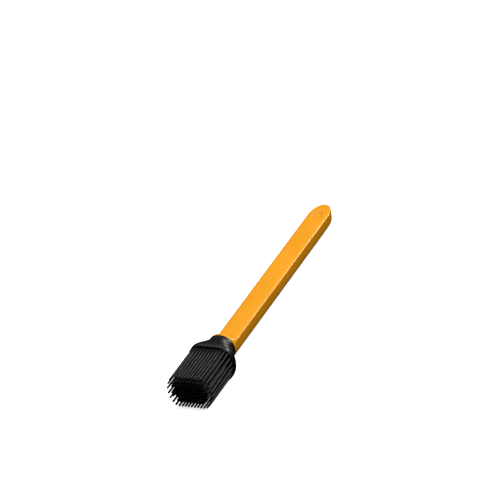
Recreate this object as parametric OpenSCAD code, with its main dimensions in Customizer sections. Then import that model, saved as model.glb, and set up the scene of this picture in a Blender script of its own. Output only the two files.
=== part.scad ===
// Silicone basting brush lying on its broad side: bristles towards -Y, handle towards +Y.
// The origin is on the surface it lies on, under the middle of its length.

/* [Handle] */
// Length from the collar's face to the round tip
handle_len = 240.2; // [200:0.1:260]
// Widest half-width of the grip, where its tip begins
grip_half_w = 9.8; // [9:0.1:12]
// Width of the grip at the flare as a share of its width at the tip
grip_waist = 0.96; // [0.9:0.01:1]
// Height of the grip above its widest line, up to its flat top
grip_top = 4; // [3.5:0.1:6]
// Depth of the grip below its widest line
grip_bottom = 10.4; // [7:0.1:11]
// Squareness of the grip's upper edges (2 is an ellipse)
grip_top_power = 6.5; // [3:0.5:9]
// Squareness of the grip's lower edges (2 is an ellipse)
grip_bottom_power = 3.6; // [2:0.1:5]
// Length of the half-oval tip
tip_len = 17.8; // [12:0.1:22]
// How much the tip's underside follows the round of the section (0 is upright)
tip_undercut = 0.3; // [0:0.1:1]

/* [Collar] */
// Radius of the round collar that the head butts against
collar_r = 12; // [11.5:0.1:14]
// How far the collar's centre lies above the head's axis
collar_rise = 0.9; // [0:0.1:1.5]
// Length of the collar's straight edge
collar_edge = 2.4; // [1:0.1:4]
// Length of the hollow flare from the collar to the grip
flare_len = 16; // [10:0.5:24]

/* [Plain mark] */
// Half-length of the shallow oval recess near the tip, along the handle
mark_half_len = 9; // [5:0.5:12]
// Half-width of the recess
mark_half_w = 4.5; // [3:0.5:6]
// Depth of the recess
mark_depth = 0.5; // [0.3:0.1:1]

/* [Tang] */
// Width of the stiff tang that joins handle and head
tang_w = 13; // [10:0.5:14]
// Thickness of the tang
tang_t = 5; // [4:0.5:5.5]
// Length of tang held in the handle
tang_in_handle = 45; // [30:1:60]
// Length of tang that reaches into the head
tang_in_head = 15; // [10:0.5:16]
// Gap round the tang in the head's socket
socket_gap = 0.15; // [0.1:0.05:0.3]

/* [Head] */
// Length of the head from the collar's face to the bristles' roots
head_len = 23; // [20:0.5:26]
// Half-height of the head at its rim
rim_half_t = 16.2; // [15.6:0.1:18]
// Half-length of the straight stretch of the rim
rim_straight = 8; // [7.5:0.1:9]
// Length of each round end of the rim, across the brush
rim_end = 12.1; // [11.5:0.1:12.5]
// Length of the rim before it curves in to the neck
rim_len = 4; // [3:0.1:6]
// Rounding of the rim towards the bristles
rim_round = 1.2; // [0.5:0.1:1.8]
// How early the neck narrows (1 is an even S-curve, less is earlier)
neck_skew = 0.75; // [0.6:0.05:1]

/* [Bristles] */
// Length of a bristle from root to tip
bristle_len = 44.1; // [35:0.1:50]
// Radius of a bristle at its root
bristle_root_r = 0.9; // [0.7:0.02:0.9]
// Radius of a bristle at its domed tip
bristle_tip_r = 0.84; // [0.6:0.02:0.9]
// Spacing of neighbouring bristles along the straight rows
pitch = 2.65; // [2.4:0.05:2.7]
// Half-height of the outermost ring of bristles
ring_half_t = 13; // [12.8:0.1:13.4]
// Length of the outermost ring's round ends, across the brush
ring_end = 7.8; // [7.5:0.1:8]

/* [Hidden] */

axis_z = rim_half_t;
root_y = -(head_len + handle_len - bristle_len) / 2;
collar_y = root_y + head_len;
collar_z = axis_z + collar_rise;
tip_y = collar_y + handle_len;
round_pts = 64;

// Point at angle t on an outline of two half-ellipses joined by straight stretches
function oblong(straight, end, half_t, t) =
    [(cos(t) > 0 ? straight : -straight) + end * cos(t), half_t * sin(t)];

// Signed power, for outlines between an ellipse and a rectangle
function spow(v, p) = sign(v) * pow(abs(v), p);

// Point at angle t on the grip's section: round below, squarer above
function grip_point(t) =
    let (n = sin(t) > 0 ? grip_top_power : grip_bottom_power)
    [grip_half_w * spow(cos(t), 2 / n),
     (sin(t) > 0 ? grip_top : grip_bottom) * spow(sin(t), 2 / n)];

function angles() = [for (i = [0 : round_pts - 1]) (i + 0.5) * 360 / round_pts];

// One ring of the flare: k is 1 on the collar's outline and 0 on the narrow end of the grip
function flare_ring(y, k, r) =
    [for (t = angles())
        let (g = grip_point(t))
        [k * r * cos(t) + (1 - k) * grip_waist * g[0],
         y,
         k * (collar_z + r * sin(t)) + (1 - k) * (axis_z + g[1])]];

// One ring of the tip: the section's half-width turns through angle a about the tip's start
function tip_ring(a) =
    [for (t = angles())
        let (g = grip_point(t), reach = tip_len - tip_undercut * (grip_half_w - abs(g[0])))
        [g[0] * cos(a), tip_y - tip_len + reach * sin(a), axis_z + g[1]]];

// Skin between rings of round_pts points that follow each other towards +Y
function skin_faces(rings) =
    [for (j = [0 : rings - 2], i = [0 : round_pts - 1])
        let (a = j * round_pts + i,
             b = j * round_pts + (i + 1) % round_pts,
             c = a + round_pts,
             d = b + round_pts)
        each [[a, b, d], [a, d, c]]];

function first_cap() = [[for (i = [round_pts - 1 : -1 : 0]) i]];
function last_cap(rings) = [[for (i = [0 : round_pts - 1]) (rings - 1) * round_pts + i]];

// Zips the right half of the last ring to its left half, point by point
function zip_cap(rings) =
    let (o = (rings - 1) * round_pts, q = round_pts / 4, h = round_pts / 2)
    concat(
        [for (k = [0 : q - 2])
            let (a = q - 1 - k, b = q - 2 - k, c = h - 1 - a, d = h - 1 - b)
            each [[o + b, o + a, o + c], [o + b, o + c, o + d]]],
        [[o, o + h - 1, o + h], [o, o + h, o + round_pts - 1]],
        [for (k = [0 : q - 2])
            let (a = round_pts - 1 - k, b = round_pts - 2 - k, c = h + k, d = h + k + 1)
            each [[o + b, o + a, o + c], [o + b, o + c, o + d]]]);

// Hollow flare: falls steeply at the collar and runs out flat along the grip
function flare_k(u) = 1 - sqrt(1 - (1 - u) * (1 - u));

module handle_body() {
    edge_round = 0.7;
    flare_steps = 12;
    collar_rings = [
        flare_ring(collar_y, 1, collar_r - edge_round / 2),
        flare_ring(collar_y + edge_round, 1, collar_r),
        flare_ring(collar_y + collar_edge - edge_round, 1, collar_r),
        flare_ring(collar_y + collar_edge, 1, collar_r - edge_round / 2)];
    flare_rings = [for (i = [1 : flare_steps])
        let (u = i / flare_steps)
        flare_ring(collar_y + collar_edge + flare_len * u, flare_k(u), collar_r)];
    tip_rings = [for (a = [0 : 8 : 88]) tip_ring(a)];
    rings = concat(collar_rings, flare_rings, tip_rings);
    polyhedron(
        points = [for (r = rings) each r],
        faces = concat(first_cap(), skin_faces(len(rings)), zip_cap(len(rings))),
        convexity = 6);
}

// Shallow oval recess with nothing written in it
module plain_mark() {
    translate([0, tip_y - tip_len - mark_half_len / 2, axis_z + grip_top - mark_depth])
        linear_extrude(mark_depth + 1)
            polygon([for (t = [0 : 12 : 348]) [mark_half_w * cos(t), mark_half_len * sin(t)]]);
}

// Box of the tang, grown by gap, from its end in the head to its end in the handle
module tang_box(gap) {
    translate([-tang_w / 2 - gap, collar_y - tang_in_head - gap, axis_z - tang_t / 2 - gap])
        cube([tang_w + 2 * gap, tang_in_head + tang_in_handle + 2 * gap, tang_t + 2 * gap]);
}

module handle() {
    color("orange") difference() {
        handle_body();
        plain_mark();
        tang_box(0);
    }
}

module tang() {
    lead_in = 1;
    color("dimgray") difference() {
        tang_box(0);
        for (side = [-1, 1])
            translate([side * tang_w / 2, collar_y - tang_in_head, axis_z])
                rotate([0, 0, 45])
                    cube([lead_in, lead_in, tang_t + 2], center = true);
    }
}

// One ring of the head: k is 0 on the rim's outline and 1 on the neck's circle
function head_ring(y, k, inset) =
    [for (t = angles())
        let (p = oblong(rim_straight * (1 - k),
                        (1 - k) * rim_end + k * collar_r - inset,
                        ((1 - k) * rim_half_t + k * collar_r - inset) / cos(180 / round_pts), t))
        [p[0], y, axis_z + k * collar_rise + p[1]]];

// S-curve of the neck: u runs from 0 at the rim to 1 at the collar
function neck_k(u) = 0.5 - 0.5 * cos(180 * pow(u, neck_skew));

module head_body() {
    neck_steps = 12;
    neck_len = head_len - rim_len;
    rim_rings = [
        head_ring(root_y, 0, rim_round),
        head_ring(root_y + rim_round * 0.3, 0, rim_round * 0.3),
        head_ring(root_y + rim_round, 0, 0)];
    neck_rings = [for (i = [0 : neck_steps])
        let (u = i / neck_steps)
        head_ring(root_y + rim_len + neck_len * u, neck_k(u), 0)];
    rings = concat(rim_rings, neck_rings);
    polyhedron(
        points = [for (r = rings) each r],
        faces = concat(first_cap(), skin_faces(len(rings)), last_cap(len(rings))),
        convexity = 6);
}

module brush_head() {
    color("black") difference() {
        head_body();
        tang_box(socket_gap);
    }
}

// Places of one ring's bristles as [x, height above the head's axis]: straight rows of row_n
// bristles above and below, and end_n on each round end
function ring_places(half_t, end, row_n, end_n) =
    let (straight = pitch * (row_n - 1) / 2, step = 180 / (end_n + 1))
    concat(
        [for (side = [-1, 1], i = [0 : row_n - 1]) [-straight + i * pitch, side * half_t]],
        [for (side = [-1, 1], i = [1 : end_n])
            [side * (straight + end * sin(i * step)), -half_t * cos(i * step)]]);

// Four rings inside each other and a single row along the middle
ring_steps = [0, 4.2, 7.3, 10.3];
ring_ends = [ring_end, 5.9, 4.7, 3];
row_counts = [9, 8, 7, 6];
end_counts = [8, 8, 6, 3];
middle_count = 5;
BRISTLES = concat(
    [for (i = [0 : 3])
        each ring_places(ring_half_t - ring_steps[i], ring_ends[i], row_counts[i], end_counts[i])],
    [for (i = [0 : middle_count - 1]) [(i - (middle_count - 1) / 2) * pitch, 0]]);

// Heights between neighbouring rows, from the lowest row to the highest
ROW_EDGES = [-20, -11.5, -7.3, -4.8, -2.2, -0.5, 0.5, 2.2, 4.8, 7.3, 11.5, 20];

// A bristle standing on the origin along +Z, with a domed tip
module bristle() {
    dome = bristle_tip_r;
    rotate_extrude($fn = 20)
        polygon(concat(
            [[0, 0], [bristle_root_r, 0]],
            [for (a = [0 : 30 : 60])
                [dome * cos(a), bristle_len - dome + dome * sin(a)]],
            [[0, bristle_len]]));
}

module bristles_row(n) {
    color([0.1, 0.1, 0.1])
        for (p = BRISTLES)
            if (p[1] >= ROW_EDGES[n - 1] && p[1] < ROW_EDGES[n])
                translate([p[0], root_y, axis_z + p[1]])
                    rotate([90, 0, 0])
                        bristle();
}

handle();
tang();
brush_head();
for (n = [1 : 11])
    bristles_row(n);
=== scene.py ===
"""Looks for the silicone basting brush: a glossy orange handle and a satin black silicone head."""
import math
import random

import bmesh
import bpy
from mathutils import Matrix, Vector


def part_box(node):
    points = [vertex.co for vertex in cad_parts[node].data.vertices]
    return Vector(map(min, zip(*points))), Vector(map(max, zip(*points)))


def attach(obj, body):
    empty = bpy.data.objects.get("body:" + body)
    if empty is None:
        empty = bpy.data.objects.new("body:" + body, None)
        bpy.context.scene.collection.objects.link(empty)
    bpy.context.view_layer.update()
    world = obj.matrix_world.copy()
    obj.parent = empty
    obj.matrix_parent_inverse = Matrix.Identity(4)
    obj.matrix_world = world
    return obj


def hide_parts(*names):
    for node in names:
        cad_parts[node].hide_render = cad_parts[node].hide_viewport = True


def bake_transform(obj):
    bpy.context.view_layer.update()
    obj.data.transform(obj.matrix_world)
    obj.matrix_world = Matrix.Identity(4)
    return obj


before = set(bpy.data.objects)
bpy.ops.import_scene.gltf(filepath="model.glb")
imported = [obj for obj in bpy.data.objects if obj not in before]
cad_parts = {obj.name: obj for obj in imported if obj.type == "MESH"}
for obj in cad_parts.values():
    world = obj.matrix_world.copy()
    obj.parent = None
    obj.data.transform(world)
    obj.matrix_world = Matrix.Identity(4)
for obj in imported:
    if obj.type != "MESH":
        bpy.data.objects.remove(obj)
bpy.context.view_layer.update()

# ---------------------------------------------------------------- sizes, in metres
MM = 0.001
HANDLE_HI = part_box("handle")[1]
HEAD_LO, HEAD_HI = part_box("brush_head")
BRISTLE_LO, BRISTLE_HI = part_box("bristles_row_6")
ROOT_Y = HEAD_LO[1]
COLLAR_Y = HEAD_HI[1]
TIP_Y = HANDLE_HI[1]
AXIS_Z = (HEAD_LO[2] + HEAD_HI[2]) / 2

# grip: an outline squarer above its widest line than below it
GRIP_HALF_W = 9.8 * MM
GRIP_WAIST = 0.96
GRIP_TOP = 4 * MM
GRIP_BOTTOM = 10.4 * MM
GRIP_TOP_POWER = 6.5
GRIP_BOTTOM_POWER = 3.6
TIP_LEN = 17.8 * MM
TIP_UNDERCUT = 0.3

# collar and the hollow flare behind it
COLLAR_R = 12 * MM
COLLAR_RISE = 0.9 * MM
COLLAR_EDGE = 2.4 * MM
COLLAR_ROUND = 0.6 * MM
FLARE_LEN = 16 * MM

# plain oval recess near the tip
MARK_HALF_LEN = 9 * MM
MARK_Y = TIP_Y - TIP_LEN - MARK_HALF_LEN / 2
MARK_HALF_W = 4.5 * MM
MARK_DEPTH = 0.5 * MM
MARK_WALL = 0.35 * MM

# socket in the head for the tang
TANG_LO, TANG_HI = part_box("tang")
SOCKET_GAP = 0.15 * MM

# head: an oblong rim that turns into a round neck
HEAD_LEN = COLLAR_Y - ROOT_Y
RIM_HALF_T = (HEAD_HI[2] - HEAD_LO[2]) / 2
RIM_STRAIGHT = 8 * MM
RIM_END = (HEAD_HI[0] - HEAD_LO[0]) / 2 - RIM_STRAIGHT
RIM_LEN = 4 * MM
RIM_ROUND = 1.2 * MM
NECK_SKEW = 0.75
NECK_LIP = 0.35 * MM
NECK_FACE_INSET = 2.5 * MM
SOCKET_MOUTH = 0.5 * MM
SOCKET_SQUARENESS = 0.16

# bristles
BRISTLE_LEN = BRISTLE_HI[1] - BRISTLE_LO[1]
BRISTLE_ROOT_R = 0.9 * MM
BRISTLE_TIP_R = 0.84 * MM
PITCH = 2.65 * MM
RINGS = (  # half-height, length of the round ends, bristles per straight row and per end
    (13.0 * MM, 7.8 * MM, 9, 8),
    (8.8 * MM, 5.9 * MM, 8, 8),
    (5.7 * MM, 4.7 * MM, 7, 6),
    (2.7 * MM, 3.0 * MM, 6, 3),
)
MIDDLE_COUNT = 5
UPPER_EDGES = (0.5, 2.2, 4.8, 7.3, 11.5, 20)
ROW_EDGES = tuple(z * MM for z in [-e for e in reversed(UPPER_EDGES)] + list(UPPER_EDGES))
ROOT_SINK = 0.3 * MM
ROOT_FILLET_LEN = 0.5 * MM
ROOT_FILLET_R = 0.38 * MM
ROOT_SKIRT = 0.42 * MM
BRISTLE_LEAN = 0.12 * MM


# ---------------------------------------------------------------- outlines
def spow(v, p):
    """Signed power, for outlines between an ellipse and a rectangle."""
    return math.copysign(abs(v) ** p, v)


def grip_point(t):
    """(x, height above the grip's widest line) at angle t on the grip's section."""
    above = math.sin(t) > 0
    power = 2 / (GRIP_TOP_POWER if above else GRIP_BOTTOM_POWER)
    height = GRIP_TOP if above else GRIP_BOTTOM
    return GRIP_HALF_W * spow(math.cos(t), power), height * spow(math.sin(t), power)


def even_angles(outline, count):
    """Angles at which the points of outline(angle) lie the same distance apart."""
    fine = 20000
    ts = [2 * math.pi * (i + 0.5) / fine for i in range(fine + 1)]
    run = [0.0]
    last = outline(ts[0])
    for t in ts[1:]:
        p = outline(t)
        run.append(run[-1] + math.dist(p, last))
        last = p
    out = []
    k = 0
    for i in range(count):
        want = run[-1] * (i + 0.5) / count
        while run[k + 1] < want:
            k += 1
        f = (want - run[k]) / (run[k + 1] - run[k])
        out.append(ts[k] + f * (ts[k + 1] - ts[k]))
    return out


def even_points(corner_points, count):
    """count points the same distance apart round a closed outline given by its points."""
    closed = corner_points + corner_points[:1]
    run = [0.0]
    for a, b in zip(closed, closed[1:]):
        run.append(run[-1] + math.dist(a, b))
    out = []
    k = 0
    for i in range(count):
        want = run[-1] * i / count
        while run[k + 1] < want:
            k += 1
        f = (want - run[k]) / (run[k + 1] - run[k])
        a, b = closed[k], closed[k + 1]
        out.append((a[0] + f * (b[0] - a[0]), a[1] + f * (b[1] - a[1])))
    return out


# ---------------------------------------------------------------- meshes
def new_piece(name, verts, faces, material, smooth_angle=40):
    """An object from points and faces, smooth except across sharp edges."""
    mesh = bpy.data.meshes.new(name)
    mesh.from_pydata(verts, [], faces)
    mesh.validate()
    obj = bpy.data.objects.new(name, mesh)
    bpy.context.scene.collection.objects.link(obj)
    bm = bmesh.new()
    bm.from_mesh(mesh)
    bmesh.ops.recalc_face_normals(bm, faces=bm.faces)
    limit = math.radians(smooth_angle)
    for face in bm.faces:
        face.smooth = True
    for edge in bm.edges:
        edge.smooth = edge.calc_face_angle(0) < limit
    bm.to_mesh(mesh)
    bm.free()
    mesh.materials.append(material)
    return obj


def loft(rings, cap_first=True, cap_last=True):
    """Points and faces of a skin over rings that all have the same number of points."""
    n = len(rings[0])
    verts = [p for ring in rings for p in ring]
    faces = []
    for j in range(len(rings) - 1):
        for i in range(n):
            a = j * n + i
            b = j * n + (i + 1) % n
            faces.append((a, b, b + n, a + n))
    if cap_first:
        faces.append(tuple(range(n))[::-1])
    if cap_last:
        faces.append(tuple((len(rings) - 1) * n + i for i in range(n)))
    return verts, faces


def mark_sink(x, y):
    """How far the top sinks at (x, y): full depth inside the oval, rounded down at its edge."""
    r = math.hypot(x / MARK_HALF_W, (y - MARK_Y) / MARK_HALF_LEN)
    t = (1 - r) * MARK_HALF_W / MARK_WALL
    t = max(0.0, min(1.0, t))
    return MARK_DEPTH * t * t * (3 - 2 * t)


def make_handle(material):
    """Collar, hollow flare, grip with its oval tip, and the plain recess."""
    count = 320
    angles = even_angles(grip_point, count)
    section = [grip_point(t) for t in angles]

    grip_start = COLLAR_Y + COLLAR_EDGE + FLARE_LEN
    grip_end = TIP_Y - TIP_LEN

    def flare_ring(y, k, r):
        run = max(0.0, (y - grip_start) / (grip_end - grip_start))
        waist = GRIP_WAIST + (1 - GRIP_WAIST) * run
        ring = []
        for t, g in zip(angles, section):
            x = k * r * math.cos(t) + (1 - k) * waist * g[0]
            z = k * (AXIS_Z + COLLAR_RISE + r * math.sin(t)) + (1 - k) * (AXIS_Z + g[1])
            ring.append((x, y, z))
        return ring

    def tip_ring(a):
        ring = []
        for g in section:
            reach = TIP_LEN - TIP_UNDERCUT * (GRIP_HALF_W - abs(g[0]))
            ring.append((g[0] * math.cos(a), TIP_Y - TIP_LEN + reach * math.sin(a), AXIS_Z + g[1]))
        return ring

    rings = []
    edge_steps = 5
    for i in range(edge_steps + 1):  # rounded front edge of the collar
        a = math.pi / 2 * i / edge_steps
        rings.append(flare_ring(COLLAR_Y + COLLAR_ROUND * (1 - math.cos(a)), 1,
                                COLLAR_R - COLLAR_ROUND * (1 - math.sin(a))))
    for i in range(edge_steps + 1):  # rounded back edge
        a = math.pi / 2 * i / edge_steps
        rings.append(flare_ring(COLLAR_Y + COLLAR_EDGE - COLLAR_ROUND * (1 - math.sin(a)), 1,
                                COLLAR_R - COLLAR_ROUND * (1 - math.cos(a)) * 0.5))
    flare_steps = 40
    for i in range(1, flare_steps + 1):
        a = math.pi / 2 * i / flare_steps
        u = 1 - math.cos(a)
        k = 1 - math.sqrt(max(0.0, 1 - (1 - u) ** 2))
        rings.append(flare_ring(COLLAR_Y + COLLAR_EDGE + FLARE_LEN * u, k,
                                COLLAR_R - COLLAR_ROUND * 0.5))
    coarse_step, fine_step, fine_len = 4 * MM, 0.35 * MM, 24 * MM
    y = grip_start
    while y < grip_end - fine_len:
        y += coarse_step
        rings.append(flare_ring(y, 0, COLLAR_R))
    fine = int((grip_end - y) / fine_step)
    for i in range(1, fine):
        rings.append(flare_ring(y + (grip_end - y) * i / fine, 0, COLLAR_R))
    tip_steps = 70
    for i in range(tip_steps):
        rings.append(tip_ring(math.radians(89.4) * i / (tip_steps - 1)))
    flat_from = 0.9 * GRIP_TOP
    dented = []
    for ring in rings:
        dented.append([(p[0], p[1], p[2] - mark_sink(p[0], p[1]))
                       if p[2] > AXIS_Z + flat_from and p[1] > grip_start else p
                       for p in ring])
    verts, faces = loft(dented, cap_last=False)
    o, q, h = (len(rings) - 1) * count, count // 4, count // 2
    for k in range(q - 1):  # zip the last ring's halves together
        a, b = q - 1 - k, q - 2 - k
        faces.append((o + b, o + a, o + h - 1 - a, o + h - 1 - b))
        a, b = count - 1 - k, count - 2 - k
        faces.append((o + b, o + a, o + h + k, o + h + k + 1))
    faces.append((o, o + h - 1, o + h, o + count - 1))
    return new_piece("handle_shell", verts, faces, material, 50)


def rim_outline(k, inset):
    """Outline of the head: oblong rim at k 0, round neck at k 1, inset by a distance."""
    straight = RIM_STRAIGHT * (1 - k)
    end = (1 - k) * RIM_END + k * COLLAR_R - inset
    half_t = (1 - k) * RIM_HALF_T + k * COLLAR_R - inset
    steps = 90
    points = []
    for side, first in ((1, -90), (-1, 90)):
        for i in range(steps + 1):
            a = math.radians(first + 180 * i / steps)
            points.append((side * straight + end * math.cos(a), half_t * math.sin(a)))
    quarter = len(points) // 4
    return points[quarter:] + points[:quarter]


def socket_outline(count):
    """Rounded box of the socket, as count points at even angles."""
    half_w = (TANG_HI[0] - TANG_LO[0]) / 2 + SOCKET_GAP
    half_t = (TANG_HI[2] - TANG_LO[2]) / 2 + SOCKET_GAP
    out = []
    for i in range(count):
        a = 2 * math.pi * i / count
        out.append((half_w * spow(math.cos(a), SOCKET_SQUARENESS),
                    half_t * spow(math.sin(a), SOCKET_SQUARENESS)))
    return out


def make_head(material):
    """Black silicone head: rim, neck, face against the collar and the socket in it."""
    count = 256

    def ring(y, k, inset):
        middle_z = AXIS_Z + k * COLLAR_RISE
        return [(x, y, middle_z + z) for x, z in even_points(rim_outline(k, inset), count)]

    rings = []
    steps = 8
    face_step = 1.5 * MM
    for i in range(1, 5):  # flat face that the bristles stand on
        rings.append(ring(ROOT_Y, 0, RIM_ROUND + (5 - i) * face_step))
    for i in range(steps + 1):
        a = math.pi / 2 * i / steps
        rings.append(ring(ROOT_Y + RIM_ROUND * (1 - math.cos(a)), 0, RIM_ROUND * (1 - math.sin(a))))
    neck_len = HEAD_LEN - RIM_LEN
    neck_steps = 48
    for i in range(neck_steps + 1):
        u = i / neck_steps
        k = 0.5 - 0.5 * math.cos(math.pi * u ** NECK_SKEW)
        rings.append(ring(ROOT_Y + RIM_LEN + (neck_len - NECK_LIP) * u, k, 0))
    for i in range(1, 5):
        a = math.pi / 2 * i / 4
        rings.append(ring(COLLAR_Y - NECK_LIP * (1 - math.sin(a)), 1, NECK_LIP * (1 - math.cos(a))))
    rings.append(ring(COLLAR_Y, 1, NECK_FACE_INSET))
    socket = socket_outline(count)
    floor_y = TANG_LO[1] - SOCKET_GAP
    rings.append([(x * 1.08, COLLAR_Y, AXIS_Z + z * 1.12) for x, z in socket])
    rings.append([(x, COLLAR_Y - SOCKET_MOUTH, AXIS_Z + z) for x, z in socket])
    rings.append([(x, floor_y, AXIS_Z + z) for x, z in socket])
    verts, faces = loft(rings)
    return new_piece("head_shell", verts, faces, material, 60)


def ring_places(half_t, end, row_n, end_n):
    """Places of one ring's bristles as (x, height above the head's axis)."""
    straight = PITCH * (row_n - 1) / 2
    step = math.pi / (end_n + 1)
    places = []
    for side in (-1, 1):
        places += [(-straight + i * PITCH, side * half_t) for i in range(row_n)]
        places += [(side * (straight + end * math.sin(i * step)), -half_t * math.cos(i * step))
                   for i in range(1, end_n + 1)]
    return places


def all_places():
    """Rings inside each other and a single row along the middle."""
    places = []
    for half_t, end, row_n, end_n in RINGS:
        places += ring_places(half_t, end, row_n, end_n)
    return places + [((i - (MIDDLE_COUNT - 1) / 2) * PITCH, 0.0) for i in range(MIDDLE_COUNT)]


def bristle_rings(x, z, lean_x, lean_z):
    """Rings of one bristle from just inside the head to its domed tip."""
    around = 20
    stations = [(-ROOT_SINK, BRISTLE_ROOT_R + ROOT_SKIRT)]
    fillet_steps = 5
    above_face = 0.02 * MM
    for i in range(fillet_steps + 1):
        a = math.pi / 2 * i / fillet_steps
        stations.append((ROOT_FILLET_LEN * (1 - math.cos(a)) + above_face,
                         BRISTLE_ROOT_R + ROOT_FILLET_R * (1 - math.sin(a))))
    shaft = 22
    shaft_start = 0.6 * MM
    dome_start = BRISTLE_LEN - BRISTLE_TIP_R
    for i in range(1, shaft + 1):
        s = shaft_start + (dome_start - shaft_start) * i / shaft
        stations.append((s, BRISTLE_ROOT_R + (BRISTLE_TIP_R - BRISTLE_ROOT_R) * i / shaft))
    dome_steps = 6
    for i in range(1, dome_steps + 1):
        a = math.radians(87) * i / dome_steps
        stations.append((dome_start + BRISTLE_TIP_R * math.sin(a), BRISTLE_TIP_R * math.cos(a)))
    rings = []
    for s, r in stations:
        bow = (max(0.0, s) / BRISTLE_LEN) ** 2
        cx, cz = x + lean_x * bow, z + lean_z * bow
        rings.append([(cx + r * math.cos(2 * math.pi * i / around), ROOT_Y - s,
                       cz + r * math.sin(2 * math.pi * i / around)) for i in range(around)])
    return rings


def make_bristles(material):
    """One piece for each row of the CAD model, in place of that row's part, which is hidden."""
    rng = random.Random(7)
    rows = {}
    places = all_places()
    for n, (low, high) in enumerate(zip(ROW_EDGES, ROW_EDGES[1:]), start=1):
        rows[f"bristles_row_{n}"] = [(x, AXIS_Z + z) for x, z in places if low <= z < high]
    pieces = []
    for name, places in rows.items():
        verts, faces = [], []
        for x, z in places:
            lean_x = rng.uniform(-1, 1) * BRISTLE_LEAN
            lean_z = rng.uniform(-1, 1) * BRISTLE_LEAN
            rings = bristle_rings(x, z, lean_x, lean_z)
            v, f = loft(rings)
            faces += [tuple(i + len(verts) for i in face) for face in f]
            verts += v
        piece = new_piece(name.replace("bristles", "silicone"), verts, faces, material, 60)
        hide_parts(name)
        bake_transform(piece)
        pieces.append(piece)
    return pieces


# ---------------------------------------------------------------- materials
class Nodes:
    """Short way to write a material's nodes."""

    def __init__(self, name):
        self.mat = bpy.data.materials.new(name)
        self.mat.use_nodes = True
        self.tree = self.mat.node_tree
        self.tree.nodes.clear()
        self.out = self.add("ShaderNodeOutputMaterial")
        self.bsdf = self.add("ShaderNodeBsdfPrincipled")
        self.link(self.bsdf.outputs["BSDF"], self.out.inputs["Surface"])
        self.coord = self.add("ShaderNodeTexCoord").outputs["Object"]

    def add(self, kind, **settings):
        node = self.tree.nodes.new(kind)
        for key, value in settings.items():
            setattr(node, key, value)
        return node

    def link(self, a, b):
        self.tree.links.new(a, b)

    def set(self, **values):
        for key, value in values.items():
            self.bsdf.inputs[key.replace("_", " ")].default_value = value

    def noise(self, scale, detail=4.0, rough=0.5, stretch=(1, 1, 1)):
        mapping = self.add("ShaderNodeMapping")
        mapping.inputs["Scale"].default_value = stretch
        self.link(self.coord, mapping.inputs["Vector"])
        node = self.add("ShaderNodeTexNoise")
        node.inputs["Scale"].default_value = scale
        node.inputs["Detail"].default_value = detail
        node.inputs["Roughness"].default_value = rough
        self.link(mapping.outputs["Vector"], node.inputs["Vector"])
        return node.outputs["Fac"]

    def ramp(self, fac, stops):
        node = self.add("ShaderNodeValToRGB")
        ramp = node.color_ramp
        while len(ramp.elements) < len(stops):
            ramp.elements.new(0.5)
        for element, (place, colour) in zip(ramp.elements, stops):
            element.position = place
            element.color = (*colour, 1)
        self.link(fac, node.inputs["Fac"])
        return node.outputs["Color"]

    def remap(self, fac, low, high, to_low, to_high):
        node = self.add("ShaderNodeMapRange")
        node.inputs["From Min"].default_value = low
        node.inputs["From Max"].default_value = high
        node.inputs["To Min"].default_value = to_low
        node.inputs["To Max"].default_value = to_high
        self.link(fac, node.inputs["Value"])
        return node.outputs["Result"]

    def painted_corner_shade(self, colour, dark, reach):
        """Colour with painted shade: darker in narrow corners, recesses and seams within reach of
        another surface.
        """
        factor, first, second, result = 0, 6, 7, 2  # sockets that a colour mix uses
        hollow = self.add("ShaderNodeAmbientOcclusion")
        hollow.inputs["Distance"].default_value = reach
        mix = self.add("ShaderNodeMix", data_type="RGBA")
        share = self.remap(hollow.outputs["AO"], 0.5, 0.98, 1.0, 0.0)
        self.link(share, mix.inputs[factor])
        self.link(colour, mix.inputs[first])
        mix.inputs[second].default_value = dark
        return mix.outputs[result]

    def bump(self, height, distance, strength=1.0, under=None):
        node = self.add("ShaderNodeBump")
        node.inputs["Distance"].default_value = distance
        node.inputs["Strength"].default_value = strength
        self.link(height, node.inputs["Height"])
        if under is not None:
            self.link(under, node.inputs["Normal"])
        return node.outputs["Normal"]


def orange_plastic():
    """Glossy moulded plastic: faint colour drift, painted shade in corners, fine orange peel and
    handling scratches.
    """
    m = Nodes("orange_plastic")
    drift = m.noise(28, 3)
    colour = m.ramp(drift, [(0.3, (0.86, 0.34, 0.006)), (0.7, (0.93, 0.372, 0.01))])
    # painted shade: the orange darkens in the mark's recess, at the collar seam and in other
    # corners
    m.link(m.painted_corner_shade(colour, (0.22, 0.06, 0.002, 1), 2 * MM), m.bsdf.inputs["Base Color"])
    smudge = m.noise(60, 5, 0.6)
    rough = m.remap(smudge, 0.3, 0.75, 0.2, 0.3)
    m.link(rough, m.bsdf.inputs["Roughness"])
    peel = m.noise(2200, 2)
    scratches = m.noise(420, 3, 0.6, stretch=(1, 0.06, 1))
    normal = m.bump(peel, 0.00002, 0.5)
    normal = m.bump(scratches, 0.00003, 0.35, under=normal)
    m.link(normal, m.bsdf.inputs["Normal"])
    m.set(IOR=1.46)
    return m.mat


def black_silicone():
    """Satin black silicone: fine moulded grain, faint bloom and uneven sheen."""
    m = Nodes("black_silicone")
    bloom = m.noise(90, 5, 0.6)
    colour = m.ramp(bloom, [(0.3, (0.002, 0.002, 0.0022)), (0.75, (0.0045, 0.0045, 0.0047))])
    m.link(colour, m.bsdf.inputs["Base Color"])
    patch = m.noise(150, 4, 0.55)
    rough = m.remap(patch, 0.3, 0.75, 0.33, 0.42)
    m.link(rough, m.bsdf.inputs["Roughness"])
    grain = m.noise(3000, 2)
    swell = m.noise(260, 3)
    normal = m.bump(grain, 0.00002, 0.3)
    normal = m.bump(swell, 0.00003, 0.4, under=normal)
    m.link(normal, m.bsdf.inputs["Normal"])
    m.set(IOR=1.41)
    return m.mat


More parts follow.
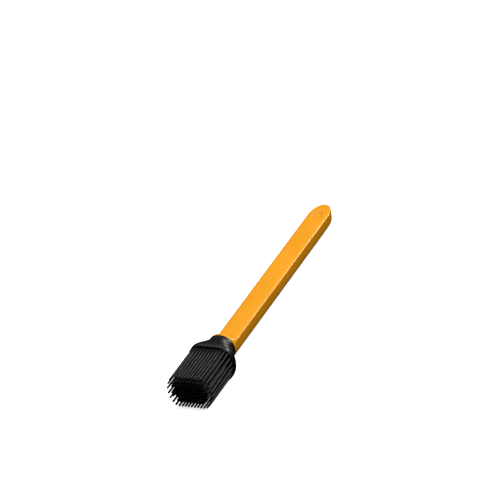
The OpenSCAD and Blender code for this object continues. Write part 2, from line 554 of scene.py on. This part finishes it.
def moulded_nylon():
    """Matt black nylon of the tang, with a light moulded grain and scuffs along it."""
    m = Nodes("moulded_nylon")
    scuff = m.noise(240, 4, 0.6, stretch=(1, 0.1, 1))
    colour = m.ramp(scuff, [(0.35, (0.03, 0.03, 0.032)), (0.7, (0.06, 0.06, 0.062))])
    m.link(colour, m.bsdf.inputs["Base Color"])
    m.link(m.remap(scuff, 0.3, 0.7, 0.5, 0.68), m.bsdf.inputs["Roughness"])
    grain = m.noise(1500, 3)
    m.link(m.bump(grain, 0.00004, 0.6), m.bsdf.inputs["Normal"])
    return m.mat


def pale_floor():
    """Pale frosted sheet, faintly lit from below like a light table."""
    m = Nodes("pale_floor")
    fibre = m.noise(40, 4)
    colour = m.ramp(fibre, [(0.3, (0.9, 0.9, 0.9)), (0.7, (0.92, 0.92, 0.92))])
    m.link(colour, m.bsdf.inputs["Base Color"])
    glow = 0.8
    m.set(Roughness=0.9, Emission_Color=(1, 1, 1, 1), Emission_Strength=glow)
    return m.mat


# ---------------------------------------------------------------- stage
def look_at(obj, target, roll=0.0):
    """Turns obj's -Z towards target, then rolls it about that line."""
    turn = (Vector(target) - obj.location).to_track_quat("-Z", "Y").to_matrix()
    obj.rotation_euler = (turn @ Matrix.Rotation(roll, 3, "Z")).to_euler()


def make_camera():
    """Long lens in front of the bristles, to the right and above, slightly rolled."""
    azimuth, elevation, roll = math.radians(25.85), math.radians(28.16), math.radians(8.22)
    distance = 1.9956
    aim = Vector((0.0165, ROOT_Y + 0.0660, AXIS_Z + 0.0682))
    back = Vector((math.sin(azimuth) * math.cos(elevation),
                   -math.cos(azimuth) * math.cos(elevation), math.sin(elevation)))
    data = bpy.data.cameras.new("camera")
    data.sensor_width = 36
    data.lens = 180
    data.clip_end = 20
    camera = bpy.data.objects.new("camera", data)
    camera.location = aim + back * distance
    bpy.context.scene.collection.objects.link(camera)
    look_at(camera, aim, -roll)
    bpy.context.scene.camera = camera


def area_light(name, place, target, size, power):
    data = bpy.data.lights.new(name, "AREA")
    data.shape = "DISK"
    data.size = size
    data.energy = power
    obj = bpy.data.objects.new(name, data)
    obj.location = place
    bpy.context.scene.collection.objects.link(obj)
    look_at(obj, target)


def make_sky():
    """Soft studio surround: brightest overhead, dim near the horizon and in front, dark below."""
    world = bpy.data.worlds.new("world")
    world.use_nodes = True
    tree = world.node_tree
    coord = tree.nodes.new("ShaderNodeTexCoord")
    split = tree.nodes.new("ShaderNodeSeparateXYZ")
    ramp = tree.nodes.new("ShaderNodeValToRGB")
    stops = [(0.0, 0.0), (0.03, 0.03), (0.5, 0.06), (0.86, 1.0), (1.0, 1.05)]
    while len(ramp.color_ramp.elements) < len(stops):
        ramp.color_ramp.elements.new(0.5)
    for element, (height, level) in zip(ramp.color_ramp.elements, stops):
        element.position = height
        element.color = (level, level, level, 1)
    front = tree.nodes.new("ShaderNodeMapRange")
    front.interpolation_type = "SMOOTHSTEP"
    front.inputs["From Min"].default_value = -0.9
    front.inputs["From Max"].default_value = 0.1
    front.inputs["To Min"].default_value = 0.1
    front.inputs["To Max"].default_value = 1.35
    tree.links.new(coord.outputs["Generated"], split.inputs["Vector"])
    tree.links.new(split.outputs["Z"], ramp.inputs["Fac"])
    tree.links.new(split.outputs["Y"], front.inputs["Value"])
    background = tree.nodes["Background"]
    tree.links.new(ramp.outputs["Color"], background.inputs["Color"])
    tree.links.new(front.outputs["Result"], background.inputs["Strength"])
    bpy.context.scene.world = world


def make_stage():
    """Pale floor that throws no light back, a soft surround and four soft lamps."""
    size = 6.0
    verts = [(-size, -size, 0), (size, -size, 0), (size, size, 0), (-size, size, 0)]
    floor = new_piece("floor", verts, [(0, 1, 2, 3)], pale_floor())
    floor.visible_diffuse = False
    floor.visible_glossy = False
    make_sky()
    area_light("overhead", (-0.2, 0.3, 2.0), (0, 0, 0), 1.8, 7)
    area_light("side", (0.95, 0.1, 1.5), (0, 0, 0), 0.4, 11)
    area_light("ridge", (0.95, 1.65, 0.78), (0, 0, 0), 0.3, 11)
    area_light("low_back", (0.0, 2.0, 0.25), (0, 0, 0), 0.35, 3)
    bpy.context.scene.view_settings.view_transform = "Standard"


def main():
    make_camera()
    make_stage()
    orange = orange_plastic()
    black = black_silicone()
    handle = make_handle(orange)
    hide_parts("handle")
    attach(handle, "handle")
    head = make_head(black)
    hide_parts("brush_head")
    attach(head, "head")
    make_bristles(black)
    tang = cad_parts["tang"]
    nylon = moulded_nylon()
    for place in tang.material_slots:
        place.material = nylon


main()
